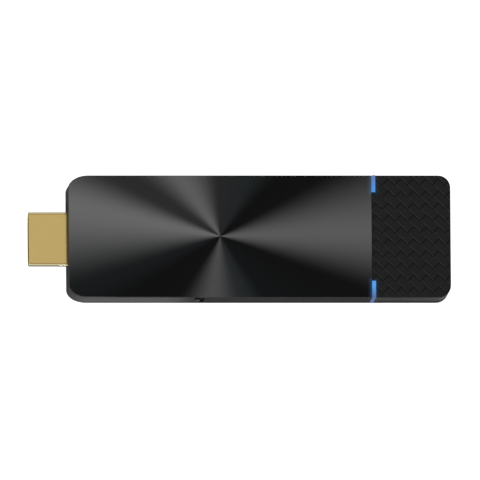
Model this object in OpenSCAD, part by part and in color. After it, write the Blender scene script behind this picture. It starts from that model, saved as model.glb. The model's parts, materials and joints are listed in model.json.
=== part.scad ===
// Plug-in streaming media player: a flat stick with a display plug at one end,
// a power socket at the other and a push key in one long side.
// +X runs from the plug to the power socket, +Z up through the spun top plate.
// The origin is the middle of the whole outline, on the underside.

/* [Body] */
// Length of the casing without the plug
body_l = 98.4; // [96:0.1:104]
// Width of the casing
body_w = 31.6; // [30:0.1:34]
// Height of the casing
body_h = 12.6; // [12.6:0.1:14]
// Radius of the four upright corners
corner_r = 3.2; // [2.6:0.1:4]
// How much further the two corners at the plug end run along the sides
corner_long = 1.9; // [1:0.1:2.5]
// Radius round the bottom edge
foot_r = 0.5; // [0.3:0.1:1]
// Thickness of the casing walls
wall = 1.3; // [1.2:0.05:1.4]
// Height of the parting line between the lower and upper casing
split_z = 7.4; // [7.3:0.1:7.6]

/* [Top] */
// Length of the spun top plate
plate_l = 78.1; // [76:0.1:79]
// Thickness of the spun top plate
plate_t = 0.7; // [0.5:0.05:0.7]
// Drop from the plate's face to the textured rear cover's face
cover_drop = 0.15; // [0.05:0.05:0.3]

/* [Light guides] */
// Width of the light line
guide_w = 1.0; // [0.8:0.1:1.4]
// Length of the light line over the top, from the side inwards
guide_reach = 4.3; // [3.8:0.05:5]
// How far the light guide stands proud of the side
guide_proud = 0.05; // [0.05:0.05:0.2]

/* [Display plug] */
// How far the plug stands out of the casing
plug_out = 10; // [9:0.1:11.8]
// Width of the plug's metal shell
plug_w = 13.9; // [13.85:0.01:13.95]
// Height of the plug's metal shell
plug_h = 4.45; // [4.4:0.01:4.5]

/* [Power socket] */
// Width of the socket's metal shell
socket_w = 8.94; // [8.9:0.01:9]
// Height of the socket's metal shell
socket_h = 3.26; // [3.2:0.01:3.3]

/* [Push key] */
// Distance of the key from the middle of the outline
key_x = -10.85; // [-14:0.05:-10.5]
// Width of the key's face
key_w = 1.5; // [1.3:0.1:1.6]
// Height of the key's face
key_h = 3.9; // [3.4:0.1:4]
// Travel of the key when it is pushed
key_travel = 0.3; // [0.2:0.05:0.35]

/* [Hidden] */
$fn = 48;
hull_fn = 32;
eps = 0.01;
fit = 0.05;

// Stations along the stick.
plug_x = -(body_l + plug_out) / 2;
body_x0 = plug_x + plug_out;
body_x1 = body_x0 + body_l;
cover_x = body_x0 + plate_l;
guide_x1 = cover_x + guide_w;
inner_x0 = body_x0 + wall;
inner_x1 = body_x1 - wall;
inner_y = body_w / 2 - wall;

// Levels above the underside.
floor_t = 1.3;
glue_t = 0.1;
roof_z = body_h - plate_t - glue_t;
roof_t = 1.2;
ceiling_z = roof_z - roof_t;
cover_z = body_h - cover_drop;
cover_t = 1.3;
lip_t = 0.45;
lip_h = 1.0;

// Main board.
board_t = 1.0;
board_z = 4.5;
board_top = board_z + board_t;
board_x0 = body_x0 + 3.4;
board_x1 = inner_x1 - 0.3;
board_w = 2 * inner_y - 1;
board_r = 1.2;
ear_x0 = inner_x0 + 0.5;
bay_w = 16;
board_mid = board_z + board_t / 2;

// Screws that clamp the board between the lower and upper bosses.
screw_r = 0.85;
screw_l = 7.4;
screw_head_r = 1.5;
screw_head_t = 0.8;
screw_head_z = 0.5;
cross_slot = [1.7, 0.36, 0.9];
screw_seat_z = screw_head_z + screw_head_t;
pilot_top = screw_head_z + screw_l + 1;
pilot_gap = 0.02;
boss_r = 2.2;
screw_y = 11.1;
screw_x_front = body_x0 + 4.7;
screw_x_rear = body_x1 - 5.6;
screw_xs = [screw_x_front, screw_x_rear];

// Posts that the board lies on and is held down by.
post_r = 1;
post_y = 12.3;
post_xs = [-22, 26];

// Light guides: a leg down the side and a foot that stands over its lamp.
guide_leg_t = 0.8;
guide_foot_l = 1.2;
guide_foot_z = board_top + 0.8;
led_size = [0.8, 1.6, 0.65];

// Plug: a D-shaped shell with its wide face up, round a contact block.
plug_t = 0.3;
plug_round = 0.7;
plug_side = 2.6;
plug_slope = 1.75;
plug_drop = plug_h - plug_side;
slope_l = norm([plug_slope, plug_drop]);
plug_z = board_mid - plug_h / 2;
plug_top = board_mid + plug_h / 2;
plug_end = body_x0 + 3.2;
block_x0 = plug_x + 0.8;
block_x1 = board_x0 - 0.1;
detent = [2.2, 1.8, 2];
detent_x = 5.3;
detent_y = 2.7;
slot_w = 11.4;
slot_h = 2.0;
slot_l = 7.2;
pin_pitch = 1.0;
pin_w = 0.34;
pin_t = 0.2;
pin_bite = 0.15;
pin_x0 = block_x0 + 0.5;
pin_tail = 2.2;

// Power socket, standing on the board.
socket_l = 7.3;
socket_t = 0.3;
socket_x1 = body_x1 - 0.2;
socket_z = board_top + socket_h / 2;
tongue_w = 6.7;
tongue_t = 0.7;
tongue_l = 4.5;
socket_pitch = 0.5;
socket_pins = 12;
socket_pin = [3.9, 0.26, 0.06];

// Push key in its well, and the side switch behind it.
well_w = 2.6;
well_depth = 0.5;
well_z0 = 2.6;
well_z1 = 12;
well_x0 = key_x - key_w / 2 - 0.12;
key_z0 = 3.0;
key_gap = 0.06;
flange_w = 3.0;
flange_t = 0.5;
side_y = body_w / 2;
key_back_y = -inner_y + fit + flange_t;
switch_w = 4.0;
switch_l = 2.7;
switch_h = 1.5;
switch_y0 = key_back_y + 0.85;
plunger_w = 1.6;
plunger_h = 0.8;
plunger_in = 1.1;
plunger_z = board_top + 0.3;

// Radio shield over the processor and memory.
shield_x0 = -8;
shield_x1 = 23;
shield_w = 21;
shield_t = 0.2;
shield_h = 2.0;
shield_top = board_top + shield_h + shield_t;
spreader_t = 0.9;
spreader_z = ceiling_z - spreader_t - 0.1;

// Chips and small parts: where each stands on the board, and its length, width and height.
processor_at = [0.5, 0];
processor_size = [14, 14, 1.2];
memory_x = 15.5;
memory_y = 5;
memory_size = [12.5, 8.4, 1.0];
storage_at = [-18, 0];
storage_size = [11.5, 13, 1.0];
power_at = [-22, 5];
power_size = [5, 5, 0.9];
coil_xs = [-29, -25, -21];
coil_y = -2;
coil_size = [3, 3, 1.6];
cap_size = [1.6, 0.8, 0.8];
resistor_size = [1.0, 0.5, 0.35];
crystal_at = [-14, -4];
crystal_size = [3.2, 2.5, 0.7];

// Radio module and its two aerials under the textured cover.
radio_x = 30;
radio_size = 12;
radio_h = 2.0;
radio_can_l = 8.4;
aerial_x0 = 37.5;
aerial_x1 = 50.5;
aerial_t = 0.2;
aerial_z0 = 6.6;
aerial_z1 = cover_z - cover_t - 0.15;
lead_r = 0.4;
lead_bend = 1.2;
aerial_plug_r = 1.25;
aerial_plug_h = 1.5;
aerial_plug_x = radio_x + radio_size / 2 - 1.3;
aerial_plug_y = 4.4;

// Vents and label recess in the underside.
vent_w = 1.1;
vent_l = 7.5;
vent_pitch = 2.6;
vent_count = 8;
vent_x0 = 9.5;
vent_y = vent_l / 2 + 1.1;
label_x0 = -33;
label_x1 = 3;
label_w = 20;
label_depth = 0.25;
label_t = 0.15;
label_gap = 0.2;

// ---------- shared shapes ----------

// Flat oval of short straight sides, from its half length and half width.
module oval(a, b) {
    polygon([for (turn = [0 : 5 : 355]) [a * cos(turn), b * sin(turn)]]);
}

// Flat outline with four round corners, from x0 to x1 and w wide.
// The two corners at x0 are drawn out along X by some length.
module outline(x0, x1, w, r, drawn = 0) {
    translate([x0 + r + drawn, -w / 2]) square([x1 - x0 - 2 * r - drawn, w]);
    translate([x0, -w / 2 + r]) square([x1 - x0, w - 2 * r]);
    for (y = [-w / 2 + r, w / 2 - r]) {
        if (drawn > 0) translate([x0 + r + drawn, y]) oval(r + drawn, r);
        else translate([x0 + r, y]) circle(r);
        translate([x1 - r, y]) circle(r);
    }
}

// The casing's outline drawn in by some amount, between two levels.
module body_slab(inset, z0, z1) {
    translate([0, 0, z0])
        linear_extrude(z1 - z0)
            outline(body_x0 + inset, body_x1 - inset, body_w - 2 * inset, corner_r - inset,
                    corner_long);
}

// One thin layer of the rounded bottom edge.
module foot_ring(inset, z) {
    translate([0, 0, z])
        linear_extrude(eps)
            outline(body_x0 + inset, body_x1 - inset, body_w - 2 * inset, corner_r - inset,
                    corner_long, $fn = hull_fn);
}

// Box given by its two corners.
module block(low, high) {
    translate(low) cube(high - low);
}

// Outline with round ends, lying across Y and Z and run along X.
module long_hole(w, h, x0, x1, z) {
    translate([x0, 0, z])
        rotate([90, 0, 90])
            linear_extrude(x1 - x0) {
                square([w - h, h], center = true);
                for (s = [-1, 1]) translate([s * (w - h) / 2, 0]) circle(h / 2);
            }
}

// An outline with each corner rounded, starting a given distance from its point.
function soften(points, cut, n = 5) =
    let (last = len(points))
    [for (i = [0 : last - 1])
        let (here = points[i], before = points[(i + last - 1) % last] - here,
             after = points[(i + 1) % last] - here)
        for (k = [0 : n])
            here + cut * (before / norm(before) * pow(1 - k / n, 2)
                          + after / norm(after) * pow(k / n, 2))];

// The plug's D outline drawn in by d: flat top, short upright sides, sloping lower sides.
function plug_outline(d) =
    let (w = plug_w / 2 - d, t = plug_h / 2 - d,
         knee = plug_h / 2 - plug_side + d * (slope_l - plug_drop) / plug_slope,
         foot = plug_w / 2 - plug_slope - d * (slope_l - plug_slope) / plug_drop)
    soften([[w, t], [-w, t], [-w, knee], [-foot, -t], [foot, -t], [w, knee]],
           max(plug_round - d, 0.15));

module plug_bar(d, x0, x1) {
    translate([x0, 0, board_mid])
        rotate([90, 0, 90])
            linear_extrude(x1 - x0) polygon(plug_outline(d));
}

module at_screws(xs) {
    for (x = xs, y = [-screw_y, screw_y]) translate([x, y, 0]) children();
}

module at_posts() {
    for (x = post_xs, y = [-post_y, post_y]) translate([x, y, 0]) children();
}

// ---------- casing ----------

// The light line's own space: over the top, down the side, and a foot inside.
module guide_shape(side, grow) {
    far = side_y + guide_proud;
    near = side_y - guide_reach;
    x0 = cover_x + fit - grow;
    x1 = guide_x1 - fit + grow;
    mirror([0, side < 0 ? 1 : 0, 0]) {
        block([x0, near - grow, cover_z - cover_t - grow], [x1, far, body_h]);
        block([x0, side_y - guide_leg_t - grow, foot_r + 0.1 - grow], [x1, far, body_h]);
        block([x0, near - grow, guide_foot_z], [x1, near + guide_foot_l + grow, body_h - 0.5]);
    }
}

module guide_grooves() {
    for (s = [-1, 1]) guide_shape(s, fit);
}

// Space inside the walls, and the step that takes the lower shell's lip.
module upper_cavity(top) {
    body_slab(wall, split_z - eps, top);
    body_slab(wall - lip_t - fit, split_z - eps, split_z + lip_h + fit);
}

// Boss that hangs from the roof down to the board, and the screw's blind hole in it.
module boss_to(top) {
    translate([0, 0, board_top]) cylinder(r = boss_r, h = top - board_top + eps);
}

module pilot() {
    translate([0, 0, board_top - 1])
        cylinder(r = screw_r + pilot_gap, h = pilot_top - board_top + 1);
}

module socket_window() {
    long_hole(socket_w + 0.4, socket_h + 0.4, inner_x1 - 1, body_x1 + 1, socket_z);
}

module key_well() {
    block([well_x0, -side_y - 1, well_z0], [well_x0 + well_w, -side_y + well_depth, well_z1]);
}

module key_opening() {
    block([key_x - key_w / 2 - key_gap, -side_y - 1, key_z0 - key_gap],
          [key_x + key_w / 2 + key_gap, -inner_y + 1, key_z0 + key_h + key_gap]);
}

module vents() {
    for (i = [0 : vent_count - 1], s = [-1, 1])
        translate([vent_x0 + i * vent_pitch, s * vent_y, -1])
            linear_extrude(floor_t + 2) {
                square([vent_w, vent_l - vent_w], center = true);
                for (e = [-1, 1])
                    translate([0, e * (vent_l - vent_w) / 2]) circle(vent_w / 2);
            }
}

module lower_shell() {
    color([0.16, 0.16, 0.165])
    difference() {
        union() {
            difference() {
                union() {
                    hull() for (a = [0 : 15 : 90])
                        foot_ring(foot_r * (1 - cos(a)), foot_r * (1 - sin(a)));
                    body_slab(0, foot_r, split_z);
                    body_slab(wall - lip_t, split_z - eps, split_z + lip_h);
                }
                body_slab(wall, floor_t, split_z + lip_h + 1);
            }
            at_screws(screw_xs)
                translate([0, 0, floor_t / 2]) cylinder(r = boss_r, h = board_z - floor_t / 2);
            at_posts() translate([0, 0, floor_t / 2])
                cylinder(r = post_r, h = board_z - floor_t / 2);
        }
        // Screw seats and holes.
        at_screws(screw_xs) {
            translate([0, 0, -1]) cylinder(r = screw_head_r + 0.1, h = 1 + screw_seat_z);
            translate([0, 0, -1]) cylinder(r = screw_r + 0.1, h = board_z + 2);
        }
        // Way out for the plug, open to the parting line.
        block([body_x0 - 1, -plug_w / 2 - 0.1, plug_z - 0.1],
              [inner_x0 + 1, plug_w / 2 + 0.1, split_z + lip_h + 1]);
        socket_window();
        key_well();
        key_opening();
        guide_grooves();
        block([label_x0, -label_w / 2, -1], [label_x1, label_w / 2, label_depth]);
        vents();
    }
}

module upper_shell() {
    color([0.16, 0.16, 0.165])
    difference() {
        union() {
            difference() {
                body_slab(0, split_z, roof_z);
                upper_cavity(ceiling_z);
                block([cover_x - fit, -side_y - 1, 0], [body_x1 + 1, side_y + 1, body_h + 1]);
            }
            at_screws([screw_x_front]) boss_to(ceiling_z);
            at_posts() translate([0, 0, board_top])
                cylinder(r = post_r, h = ceiling_z - board_top + eps);
            // Skirt that fills the wall above the plug.
            block([body_x0 + wall - lip_t, -plug_w / 2 + 0.05, split_z],
                  [inner_x0, plug_w / 2 - 0.05, split_z + lip_h + 0.2]);
        }
        at_screws([screw_x_front]) pilot();
        key_well();
    }
}

module rear_cover() {
    hook_l = 2.4;
    hook_w = 9;
    hook_z = ceiling_z - 1.0;
    color([0.09, 0.09, 0.09])
    difference() {
        union() {
            difference() {
                body_slab(0, split_z, cover_z);
                upper_cavity(cover_z - cover_t);
                block([body_x0 - 1, -side_y - 1, 0], [cover_x, side_y + 1, body_h + 1]);
            }
            // Hook that reaches under the upper shell's roof.
            block([cover_x - hook_l, -hook_w, hook_z], [cover_x + 1, hook_w, ceiling_z - 0.1]);
            block([cover_x, -hook_w, hook_z], [cover_x + 1, hook_w, cover_z - cover_t + eps]);
            at_screws([screw_x_rear]) boss_to(cover_z - cover_t);
        }
        at_screws([screw_x_rear]) pilot();
        socket_window();
        guide_grooves();
    }
}

module top_plate() {
    margin = 0.04;
    color([0.2, 0.2, 0.2])
    difference() {
        body_slab(margin, roof_z + glue_t, body_h);
        block([cover_x - fit, -side_y - 1, 0], [body_x1 + 1, side_y + 1, body_h + 1]);
    }
}

module plate_adhesive() {
    color([0.75, 0.72, 0.6])
        block([body_x0 + 2, -side_y + 2, roof_z], [cover_x - 1.5, side_y - 2, roof_z + glue_t]);
}

module light_guide(side) {
    color([0.3, 0.6, 1]) guide_shape(side, 0);
}

module rating_label() {
    color([0.1, 0.1, 0.1])
        block([label_x0 + label_gap, -label_w / 2 + label_gap, label_depth - label_t],
              [label_x1 - label_gap, label_w / 2 - label_gap, label_depth]);
}

module case_screws() {
    color([0.3, 0.3, 0.32])
        at_screws(screw_xs)
            difference() {
                union() {
                    translate([0, 0, screw_head_z]) cylinder(r = screw_head_r, h = screw_head_t);
                    translate([0, 0, screw_head_z]) cylinder(r = screw_r, h = screw_l);
                }
                for (a = [0, 90])
                    rotate(a) translate([0, 0, screw_head_z]) cube(cross_slot, center = true);
            }
}

// ---------- display plug ----------

module plug_shell() {
    rim = 0.5;
    color([0.78, 0.66, 0.4])
    difference() {
        union() {
            plug_bar(0, plug_x, plug_end);
            // Rim that bears on the inside of the end wall.
            plug_bar(-rim, inner_x0 + 0.1, inner_x0 + 0.5);
        }
        plug_bar(plug_t, plug_x - 1, plug_end + 1);
        // Two detent windows in the narrow lower face.
        for (s = [-1, 1])
            translate([plug_x + detent_x, s * detent_y, plug_z]) cube(detent, center = true);
    }
}

function pin_rows(count) = [for (i = [0 : count - 1]) (i - (count - 1) / 2) * pin_pitch];

module plug_block() {
    color([0.07, 0.07, 0.075])
    difference() {
        plug_bar(plug_t + 0.02, block_x0, block_x1);
        block([block_x0 - 1, -slot_w / 2, board_mid - slot_h / 2],
              [block_x0 + slot_l, slot_w / 2, board_mid + slot_h / 2]);
        pin_grooves(10, 1);
        pin_grooves(9, -1);
    }
}

// Grooves in one wall of the slot, one for each contact.
module pin_grooves(count, up) {
    mid = board_mid + up * (slot_h / 2 + pin_t / 2 - pin_bite);
    for (y = pin_rows(count))
        block([pin_x0 - 0.1, y - pin_w / 2 - fit, mid - pin_t / 2 - fit],
              [block_x1 + 1, y + pin_w / 2 + fit, mid + pin_t / 2 + fit]);
}

// A row of contacts: a straight run in its groove, a step, and a tail on the board.
module plug_pins(count, up) {
    z = slot_h / 2 - pin_bite;
    step_x = block_x1 + 0.1;
    color([0.85, 0.68, 0.3])
    translate([0, 0, board_mid])
        mirror([0, 0, up < 0 ? 1 : 0])
            for (y = pin_rows(count)) {
                left = y - pin_w / 2;
                right = y + pin_w / 2;
                block([pin_x0, left, z], [step_x + pin_t, right, z + pin_t]);
                block([step_x, left, board_t / 2], [step_x + pin_t, right, z + pin_t]);
                block([step_x, left, board_t / 2], [step_x + pin_tail, right, board_t / 2 + pin_t]);
            }
}

// Stamped saddle over the plug's back end, soldered to the board.
module plug_bracket() {
    t = 0.3;
    half = plug_w / 2 + 0.1;
    x0 = inner_x0 + 0.7;
    x1 = board_x0 + 3.6;
    color([0.75, 0.75, 0.74]) {
        block([x0, -half - t, plug_top + 0.02], [x1, half + t, plug_top + 0.02 + t]);
        for (s = [-1, 1])
            mirror([0, s < 0 ? 1 : 0, 0])
                block([board_x0 + 0.4, half, board_top], [x1, half + t, plug_top + 0.1]);
    }
}

// ---------- power socket ----------

module socket_shell() {
    color([0.72, 0.72, 0.71])
    difference() {
        long_hole(socket_w, socket_h, socket_x1 - socket_l, socket_x1, socket_z);
        long_hole(socket_w - 2 * socket_t, socket_h - 2 * socket_t,
                  socket_x1 - socket_l - 1, socket_x1 + 1, socket_z);
    }
}

module socket_tongue() {
    back = socket_x1 - socket_l + 0.1;
    root_l = 1.9;
    color([0.07, 0.07, 0.075]) {
        long_hole(socket_w - 2 * socket_t - 0.04, socket_h - 2 * socket_t - 0.04,
                  back, back + root_l, socket_z);
        block([back + root_l - 0.1, -tongue_w / 2, socket_z - tongue_t / 2],
              [back + root_l + tongue_l, tongue_w / 2, socket_z + tongue_t / 2]);
    }
}

module socket_contacts() {
    x0 = socket_x1 - socket_l + 2.1;
    color([0.85, 0.68, 0.3])
        for (s = [-1, 1], i = [0 : socket_pins - 1])
            translate([x0 + socket_pin[0] / 2, (i - (socket_pins - 1) / 2) * socket_pitch,
                       socket_z + s * (tongue_t + socket_pin[2]) / 2])
                cube(socket_pin, center = true);
}

// ---------- push key ----------

module push_key() {
    color([0.28, 0.28, 0.285]) {
        block([key_x - key_w / 2, -side_y, key_z0],
              [key_x + key_w / 2, key_back_y - flange_t + eps, key_z0 + key_h]);
        block([key_x - flange_w / 2, key_back_y - flange_t, key_z0 - 0.5],
              [key_x + flange_w / 2, key_back_y, key_z0 + key_h + 0.5]);
    }
}

module switch_plunger() {
    color([0.9, 0.9, 0.88])
        block([key_x - plunger_w / 2, key_back_y, plunger_z],
              [key_x + plunger_w / 2, switch_y0 + plunger_in, plunger_z + plunger_h]);
}

module switch_body() {
    slack = 0.08;
    color([0.1, 0.1, 0.1])
    difference() {
        block([key_x - switch_w / 2, switch_y0, board_top],
              [key_x + switch_w / 2, switch_y0 + switch_l, board_top + switch_h]);
        block([key_x - plunger_w / 2 - slack, switch_y0 - 1, plunger_z - slack],
              [key_x + plunger_w / 2 + slack, switch_y0 + plunger_in + key_travel + 0.1,
               plunger_z + plunger_h + slack]);
    }
}

module switch_bracket() {
    t = 0.15;
    half = switch_w / 2;
    color([0.75, 0.75, 0.74]) {
        block([key_x - half - t, switch_y0, board_top + switch_h],
              [key_x + half + t, switch_y0 + switch_l, board_top + switch_h + t]);
        for (s = [-1, 1])
            translate([key_x, 0, 0]) mirror([s < 0 ? 1 : 0, 0, 0])
                block([half, switch_y0 + 0.4, board_top],
                      [half + t, switch_y0 + switch_l - 0.4, board_top + switch_h + t]);
    }
}

// ---------- board and chips ----------

module main_board() {
    color([0.05, 0.25, 0.14])
    difference() {
        translate([0, 0, board_z])
            linear_extrude(board_t) outline(ear_x0, board_x1, board_w, board_r);
        // Bay that the plug's block stands in.
        block([ear_x0 - 1, -bay_w / 2, board_z - 1], [board_x0, bay_w / 2, board_top + 1]);
        at_screws(screw_xs)
            translate([0, 0, board_z - 1]) cylinder(r = screw_r + 0.15, h = board_t + 2);
        // Bay for the key's flange.
        block([key_x - flange_w / 2 - 0.6, -side_y, board_z - 1],
              [key_x + flange_w / 2 + 0.6, key_back_y + key_travel + 0.3, board_top + 1]);
    }
}

// Flat package standing on the board, centred on a point.
module chip(at, size, z = board_top) {
    translate([at[0] - size[0] / 2, at[1] - size[1] / 2, z]) cube(size);
}

module processor() {
    color([0.12, 0.12, 0.13]) chip(processor_at, processor_size);
}

module memory_chips() {
    color([0.1, 0.1, 0.1])
        for (s = [-1, 1]) chip([memory_x, s * memory_y], memory_size);
}

module storage_chip() {
    color([0.1, 0.1, 0.1]) chip(storage_at, storage_size, board_z - storage_size[2]);
}

module power_chip() {
    color([0.1, 0.1, 0.1]) chip(power_at, power_size);
}

module power_coils() {
    color([0.25, 0.25, 0.26])
        for (x = coil_xs) chip([x, coil_y], coil_size);
}

module capacitors() {
    color([0.68, 0.58, 0.42]) {
        for (x = [-34 : 2.4 : -17], y = [9, -6.5]) chip([x, y], cap_size);
        for (y = [-6 : 2.4 : 6]) chip([41, y], [cap_size[1], cap_size[0], cap_size[2]]);
    }
}

module resistors() {
    color([0.12, 0.12, 0.12])
        for (x = [-34 : 2 : -28], y = [3 : 2 : 7]) chip([x, y], resistor_size);
}

module clock_crystal() {
    color([0.8, 0.8, 0.79]) chip(crystal_at, crystal_size);
}

module shield_frame() {
    color([0.75, 0.75, 0.74])
    difference() {
        block([shield_x0, -shield_w / 2, board_top], [shield_x1, shield_w / 2, board_top + shield_h]);
        block([shield_x0 + shield_t, -shield_w / 2 + shield_t, board_top - 1],
              [shield_x1 - shield_t, shield_w / 2 - shield_t, board_top + shield_h + 1]);
    }
}

module shield_lid() {
    gap = 0.05;
    grow = gap + shield_t;
    color([0.78, 0.78, 0.77])
    difference() {
        block([shield_x0 - grow, -shield_w / 2 - grow, board_top + 0.6],
              [shield_x1 + grow, shield_w / 2 + grow, shield_top]);
        block([shield_x0 - gap, -shield_w / 2 - gap, board_top],
              [shield_x1 + gap, shield_w / 2 + gap, board_top + shield_h]);
    }
}

module chip_pad() {
    color([0.55, 0.6, 0.7])
        chip(processor_at, [12, 12, shield_h - processor_size[2]], board_top + processor_size[2]);
}

module spreader_pad() {
    color([0.55, 0.6, 0.7])
        block([-7, -8, shield_top], [19, 8, spreader_z]);
}

module heat_spreader() {
    color([0.8, 0.8, 0.81])
        block([-30, -10.5, spreader_z], [28, 10.5, spreader_z + spreader_t]);
}

// ---------- radio ----------

module radio_module() {
    base_h = 0.8;
    x0 = radio_x - radio_size / 2;
    color([0.74, 0.74, 0.73]) {
        chip([radio_x, 0], [radio_size, radio_size, base_h]);
        chip([x0 + 0.8 + radio_can_l / 2, 0], [radio_can_l, radio_size - 1.2, radio_h]);
    }
}

module aerial(side) {
    color([0.6, 0.45, 0.2])
        mirror([0, side < 0 ? 1 : 0, 0])
            block([aerial_x0, inner_y - 0.1 - aerial_t, aerial_z0],
                  [aerial_x1, inner_y - 0.1, aerial_z1]);
}

module aerial_plug(side) {
    color([0.8, 0.7, 0.4])
        translate([aerial_plug_x, side * aerial_plug_y, board_top + 0.8])
            difference() {
                cylinder(r = aerial_plug_r, h = aerial_plug_h);
                translate([0, 0, -1]) cylinder(r = 0.6, h = aerial_plug_h);
            }
}

// Lead from the radio to its aerial: along the board, across it, and along the side.
module aerial_lead(side) {
    x0 = aerial_plug_x + aerial_plug_r + 0.02;
    turn_x = x0 + 1;
    far_y = inner_y - 0.1 - aerial_t - lead_r - 0.02;
    end_x = turn_x + 2 * lead_bend + 3.6;
    color([0.15, 0.15, 0.15])
        mirror([0, side < 0 ? 1 : 0, 0])
            translate([0, 0, board_top + 1.5]) {
                translate([x0, aerial_plug_y, 0])
                    rotate([0, 90, 0]) cylinder(r = lead_r, h = turn_x - x0);
                translate([turn_x, aerial_plug_y + lead_bend, 0])
                    rotate(-90) rotate_extrude(angle = 90) translate([lead_bend, 0]) circle(lead_r);
                translate([turn_x + lead_bend, aerial_plug_y + lead_bend, 0])
                    rotate([-90, 0, 0])
                        cylinder(r = lead_r, h = far_y - aerial_plug_y - 2 * lead_bend);
                translate([turn_x + 2 * lead_bend, far_y - lead_bend, 0])
                    rotate(90) rotate_extrude(angle = 90) translate([lead_bend, 0]) circle(lead_r);
                translate([turn_x + 2 * lead_bend, far_y, 0])
                    rotate([0, 90, 0]) cylinder(r = lead_r, h = end_x - turn_x - 2 * lead_bend);
            }
}

module led(side) {
    color([0.95, 0.9, 0.6])
        chip([(cover_x + guide_x1) / 2, side * (side_y - guide_reach + guide_foot_l / 2)],
             led_size);
}

// ---------- assembly ----------

lower_shell();
upper_shell();
rear_cover();
top_plate();
plate_adhesive();
light_guide(-1);  // light_guide_near
light_guide(1);  // light_guide_far
rating_label();
case_screws();
plug_shell();
plug_block();
plug_pins(10, 1);  // plug_pins_upper
plug_pins(9, -1);  // plug_pins_lower
plug_bracket();
socket_shell();
socket_tongue();
socket_contacts();  // socket_pins
push_key();
switch_plunger();
switch_body();
switch_bracket();
main_board();
processor();
memory_chips();
storage_chip();
power_chip();
power_coils();
capacitors();
resistors();
clock_crystal();
shield_frame();
shield_lid();
chip_pad();
spreader_pad();
heat_spreader();
radio_module();
aerial(-1);  // aerial_near
aerial(1);  // aerial_far
aerial_lead(-1);  // aerial_lead_near
aerial_lead(1);  // aerial_lead_far
aerial_plug(-1);  // aerial_plug_near
aerial_plug(1);  // aerial_plug_far
led(-1);  // led_near
led(1);  // led_far
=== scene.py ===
import json
import math

import bmesh
import bpy
from mathutils import Matrix, Vector


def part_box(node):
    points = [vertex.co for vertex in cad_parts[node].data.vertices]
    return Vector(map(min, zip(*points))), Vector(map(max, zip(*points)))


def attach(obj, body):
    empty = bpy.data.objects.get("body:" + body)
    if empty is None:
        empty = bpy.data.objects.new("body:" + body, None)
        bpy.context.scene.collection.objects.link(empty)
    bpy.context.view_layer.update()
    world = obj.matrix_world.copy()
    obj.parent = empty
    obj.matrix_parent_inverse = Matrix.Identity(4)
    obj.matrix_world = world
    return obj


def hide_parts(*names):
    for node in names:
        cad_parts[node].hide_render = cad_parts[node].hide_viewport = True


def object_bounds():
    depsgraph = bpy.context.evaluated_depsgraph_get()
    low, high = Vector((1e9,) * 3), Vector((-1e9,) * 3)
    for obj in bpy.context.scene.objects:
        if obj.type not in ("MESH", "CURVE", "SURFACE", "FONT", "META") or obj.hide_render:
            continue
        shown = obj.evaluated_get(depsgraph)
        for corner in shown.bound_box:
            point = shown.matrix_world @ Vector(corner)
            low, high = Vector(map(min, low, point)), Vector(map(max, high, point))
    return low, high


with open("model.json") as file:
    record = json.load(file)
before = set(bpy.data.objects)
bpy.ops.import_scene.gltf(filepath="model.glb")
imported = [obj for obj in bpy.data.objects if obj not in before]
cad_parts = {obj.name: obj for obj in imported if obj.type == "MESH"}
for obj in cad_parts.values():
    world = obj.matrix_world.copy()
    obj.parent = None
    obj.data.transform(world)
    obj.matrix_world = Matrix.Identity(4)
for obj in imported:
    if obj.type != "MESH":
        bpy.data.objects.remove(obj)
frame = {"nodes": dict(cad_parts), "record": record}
cad_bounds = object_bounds()

MM = 0.001

# ---------- places, all taken from the frame ----------

LOWER_LO, LOWER_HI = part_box("lower_shell")
UPPER_LO, UPPER_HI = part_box("upper_shell")
COVER_LO, COVER_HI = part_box("rear_cover")
PLATE_LO, PLATE_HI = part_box("top_plate")
PLUG_LO, PLUG_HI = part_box("plug_shell")
SOCKET_LO, SOCKET_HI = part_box("socket_shell")
KEY_LO, KEY_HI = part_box("push_key")
GUIDE_LO, GUIDE_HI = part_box("light_guide_far")
SCREW_LO, SCREW_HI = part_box("case_screws")
LABEL_LO, LABEL_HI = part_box("rating_label")
BOARD_LO, BOARD_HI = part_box("main_board")

SIDE_Y = LOWER_HI.y
SPLIT_Z = UPPER_LO.z

# Sizes of the casing that its outline alone doesn't give.
CORNER_R, CORNER_LONG = 3.2 * MM, 1.9 * MM
FOOT_R = 0.5 * MM
WALL = 1.3 * MM
FLOOR_T = 1.3 * MM
ROOF_T = 1.2 * MM
COVER_T = 1.3 * MM
LIP_T = 0.45 * MM
GAP = 0.05 * MM
EDGE_R = 0.1 * MM
SMOOTH_BELOW = 14
SCREW_HEAD_R = 1.5 * MM
SCREW_R = 0.85 * MM
BOSS_R = 2.2 * MM
POST_R = 1.0 * MM
POST_Y = 12.3 * MM
POST_XS = (-22 * MM, 26 * MM)
SCREW_Y = SCREW_HI.y - SCREW_HEAD_R
SCREW_XS = (SCREW_LO.x + SCREW_HEAD_R, SCREW_HI.x - SCREW_HEAD_R)

# Push key and the well round it.
KEY_FACE_X0, KEY_FACE_X1 = KEY_LO.x + 0.75 * MM, KEY_HI.x - 0.75 * MM
KEY_FACE_Z0, KEY_FACE_Z1 = KEY_LO.z + 0.5 * MM, KEY_HI.z - 0.5 * MM
WELL_X0, WELL_W, WELL_DEPTH = KEY_FACE_X0 - 0.12 * MM, 2.6 * MM, 0.5 * MM
WELL_Z0, WELL_Z1 = 2.6 * MM, 12.0 * MM

# Vents in the floor.
VENT_W, VENT_L, VENT_PITCH = 1.1 * MM, 7.5 * MM, 2.6 * MM
VENT_X0, VENT_COUNT = 9.5 * MM, 8

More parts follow.
